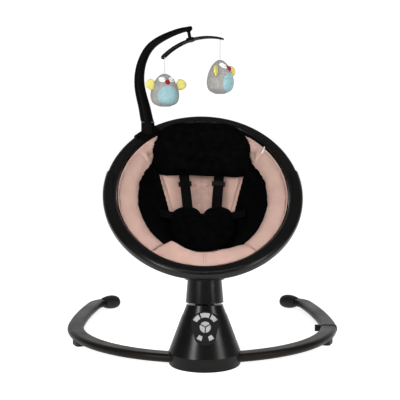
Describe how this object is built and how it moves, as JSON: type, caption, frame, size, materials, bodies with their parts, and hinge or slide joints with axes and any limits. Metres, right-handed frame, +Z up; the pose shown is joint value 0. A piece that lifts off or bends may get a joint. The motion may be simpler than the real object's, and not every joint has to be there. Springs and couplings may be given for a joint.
{
  "type": "baby swing",
  "caption": "Electric baby swing: horseshoe base, conical motor housing with push buttons, reclined oval padded seat turning on its neck, harness, and a hooked arm with hanging plush birds.",
  "frame": {"origin": "middle of the base plate's underside, under the motor housing, on the floor", "axes": "+Z up, -Y the front with the control panel, +X to the right as seen from the front"},
  "size_m": [0.666, 0.6778, 0.752],
  "materials": {
    "black_gloss": "satin black moulded plastic",
    "black_matte": "fine matt black moulded plastic",
    "tube_paint": "satin black powder coat",
    "black_rubber": "matt",
    "grey_button": "light grey soft-touch plastic",
    "steel": "bright zinc-plated",
    "nylon": "natural nylon",
    "board": "solder-mask green",
    "rose_fabric": "woven rose-beige cloth",
    "black_velvet": "short black pile",
    "webbing": "woven black webbing",
    "grey_plush": "short grey plush",
    "yellow_felt": "yellow felt",
    "blue_plush": "light blue plush with red and white sewn trim",
    "white_string": "thin twisted string"
  },
  "bodies": {
    "base": {"base_plate": "black_matte", "housing_skirt": "black_gloss", "motor_housing": "black_gloss", "housing_collar": "black_gloss", "control_panel": "black_matte", "circuit_board": "board", "right_base_tube": "tube_paint", "left_base_tube": "tube_paint", "end_caps": "black_rubber", "rubber_feet": "black_rubber", "tube_clip": "black_matte", "base_screws": "steel", "bearing_carrier": "nylon", "shaft_bushes": "nylon", "drive_motor": "steel", "speaker": "black_matte", "power_inlet": "black_matte"},
    "pinion": {"motor_pinion": "nylon"},
    "seat": {"swing_shaft": "steel", "cross_pin": "steel", "drive_gear": "nylon", "neck_sleeve": "black_gloss", "seat_bracket": "black_gloss", "bracket_bolts": "steel", "lower_rim": "black_gloss", "upper_rim": "black_gloss", "rim_cover": "black_gloss", "rim_joiners": "black_matte", "seat_sling": "rose_fabric", "side_bands": "rose_fabric", "front_band": "rose_fabric", "side_panels": "black_velvet", "seat_panel": "rose_fabric", "headrest_pillow": "black_velvet", "harness_pad": "black_velvet", "shoulder_straps": "webbing", "waist_straps": "webbing", "strap_adjusters": "black_matte", "crotch_strap": "webbing", "buckle_body": "black_matte", "arm_socket": "black_gloss"},
    "release": {"buckle_release": "grey_button"},
    "arm": {"mobile_arm": "black_gloss"},
    "mobile": {"mobile_bar": "black_gloss"},
    "left_toy": {"left_toy_string": "white_string", "left_toy_body": "grey_plush", "left_toy_wings": "yellow_felt", "left_toy_trim": "blue_plush"},
    "right_toy": {"right_toy_string": "white_string", "right_toy_body": "grey_plush", "right_toy_wings": "yellow_felt", "right_toy_trim": "blue_plush"},
    "key_arc_left": {"button_arc_left": "grey_button"},
    "key_arc_middle": {"button_arc_middle": "grey_button"},
    "key_arc_right": {"button_arc_right": "grey_button"},
    "key_lower_left": {"button_lower_left": "grey_button"},
    "key_lower_right": {"button_lower_right": "grey_button"},
    "key_sector_top": {"button_sector_top": "grey_button"},
    "key_sector_left": {"button_sector_left": "grey_button"},
    "key_sector_right": {"button_sector_right": "grey_button"}
  },
  "joints": [
    {"name": "seat_swing", "type": "hinge", "parent": "base", "child": "seat", "pos_m": [0, 0, 0.13], "axis": [0, 0.1045, 0.9945], "range_deg": [-15, 15]},
    {"name": "pinion_spin", "type": "hinge", "parent": "base", "child": "pinion", "pos_m": [0, 0.02977, 0.05447], "axis": [0, 0.1045, 0.9945], "range_deg": [-62, 62]},
    {"name": "buckle_release_press", "type": "slide", "parent": "seat", "child": "release", "axis": [0, 0.8192, 0.5736], "range_m": [0, 0.0025], "stiffness_N_per_m": 400},
    {"name": "arm_swivel", "type": "hinge", "parent": "seat", "child": "arm", "pos_m": [-0.1363, 0.37922, 0.52094], "axis": [0, 0, 1], "range_deg": [-75, 75]},
    {"name": "mobile_spin", "type": "hinge", "parent": "arm", "child": "mobile", "pos_m": [-0.02887, 0.27179, 0.71999], "axis": [0.183, -0.183, -0.9659], "range_deg": [-60, 60]},
    {"name": "left_toy_swing", "type": "hinge", "parent": "mobile", "child": "left_toy", "pos_m": [-0.09106, 0.29971, 0.67949], "axis": [0.9003, -0.4352, 0], "range_deg": [-20, 20]},
    {"name": "right_toy_swing", "type": "hinge", "parent": "mobile", "child": "right_toy", "pos_m": [0.04161, 0.23558, 0.71678], "axis": [0.9003, -0.4352, 0], "range_deg": [-20, 20]},
    {"name": "button_arc_left_press", "type": "slide", "parent": "base", "child": "key_arc_left", "axis": [0, 0.9361, -0.3518], "range_m": [0, 0.001], "stiffness_N_per_m": 300},
    {"name": "button_arc_middle_press", "type": "slide", "parent": "base", "child": "key_arc_middle", "axis": [0, 0.9361, -0.3518], "range_m": [0, 0.001], "stiffness_N_per_m": 300},
    {"name": "button_arc_right_press", "type": "slide", "parent": "base", "child": "key_arc_right", "axis": [0, 0.9361, -0.3518], "range_m": [0, 0.001], "stiffness_N_per_m": 300},
    {"name": "button_lower_left_press", "type": "slide", "parent": "base", "child": "key_lower_left", "axis": [0, 0.9361, -0.3518], "range_m": [0, 0.001], "stiffness_N_per_m": 300},
    {"name": "button_lower_right_press", "type": "slide", "parent": "base", "child": "key_lower_right", "axis": [0, 0.9361, -0.3518], "range_m": [0, 0.001], "stiffness_N_per_m": 300},
    {"name": "button_sector_top_press", "type": "slide", "parent": "base", "child": "key_sector_top", "axis": [0, 0.9361, -0.3518], "range_m": [0, 0.001], "stiffness_N_per_m": 300},
    {"name": "button_sector_left_press", "type": "slide", "parent": "base", "child": "key_sector_left", "axis": [0, 0.9361, -0.3518], "range_m": [0, 0.001], "stiffness_N_per_m": 300},
    {"name": "button_sector_right_press", "type": "slide", "parent": "base", "child": "key_sector_right", "axis": [0, 0.9361, -0.3518], "range_m": [0, 0.001], "stiffness_N_per_m": 300}
  ],
  "couplings": [
    {"joint": "pinion_spin", "follows": "seat_swing", "ratio": -4}
  ]
}
